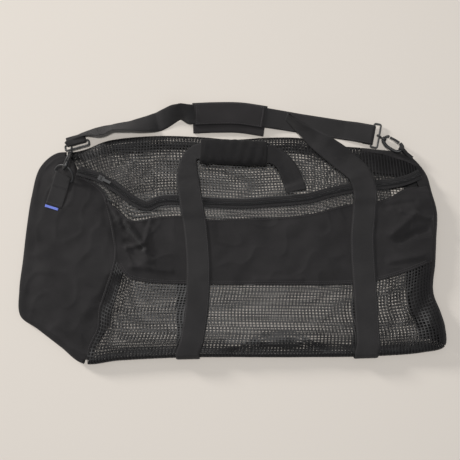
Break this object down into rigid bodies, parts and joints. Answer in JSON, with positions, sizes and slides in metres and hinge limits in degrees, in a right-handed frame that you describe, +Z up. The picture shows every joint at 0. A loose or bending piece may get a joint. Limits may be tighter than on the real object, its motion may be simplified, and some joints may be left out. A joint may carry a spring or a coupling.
{
  "type": "mesh gear bag",
  "caption": "Flat, empty mesh duffel lying front up: cloth band and ends, net panels, zipper, two webbing handles with a wrap, padded shoulder strap with swivel hooks.",
  "frame": {"origin": "on the floor under the middle of the whole", "axes": "+X along the bag towards its right end, +Y from its bottom to its top edge, +Z up from the floor through the front"},
  "size_m": [0.8096, 0.5044, 0.0572],
  "materials": {
    "cloth": "matt woven polyester",
    "net": "matt coated mesh",
    "webbing": "matt woven webbing",
    "tape": "matt woven tape",
    "metal": "satin black coating",
    "blue": "matt woven ribbon"
  },
  "bodies": {
    "bag": {"front_lower_mesh": "net", "front_band": "cloth", "front_mesh_strip": "net", "top_mesh": "net", "bottom_fold": "net", "top_fold": "net", "end_right_panel": "cloth", "end_left_panel": "cloth", "back_mesh": "net", "zipper_tape": "tape", "zipper_coil": "tape", "handle_webbing_left": "webbing", "handle_webbing_right": "webbing", "handle_wrap": "cloth", "left_d_ring": "metal", "left_strap_ring": "metal", "left_swivel": "metal", "left_hook": "metal", "right_strap_ring": "metal", "right_swivel": "metal", "right_hook": "metal", "left_tab": "webbing", "left_tab_tag": "blue", "right_tab": "webbing", "shoulder_pad_base": "cloth", "shoulder_pad_cover": "cloth", "shoulder_strap": "webbing", "zipper_slider": "metal"},
    "left_gate": {"left_hook_gate": "metal"},
    "right_gate": {"right_hook_gate": "metal"},
    "pull": {"zipper_pull": "metal"}
  },
  "joints": [
    {"name": "left_hook_gate_hinge", "type": "hinge", "parent": "bag", "child": "left_gate", "pos_m": [-0.30603, 0.14416, 0.03171], "axis": [0.8289, -0.4107, -0.3798], "range_deg": [0, 22], "stiffness_Nm_per_rad": 0.004, "springref_deg": -11.46},
    {"name": "right_hook_gate_hinge", "type": "hinge", "parent": "bag", "child": "right_gate", "pos_m": [0.30777, 0.17998, 0.01018], "axis": [0.1865, -0.1258, -0.9744], "range_deg": [0, 22], "stiffness_Nm_per_rad": 0.004, "springref_deg": -11.46},
    {"name": "zipper_pull_hinge", "type": "hinge", "parent": "bag", "child": "pull", "pos_m": [-0.24753, 0.09807, 0.03373], "axis": [-0.4594, -0.8883, 0], "range_deg": [0, 140]}
  ]
}
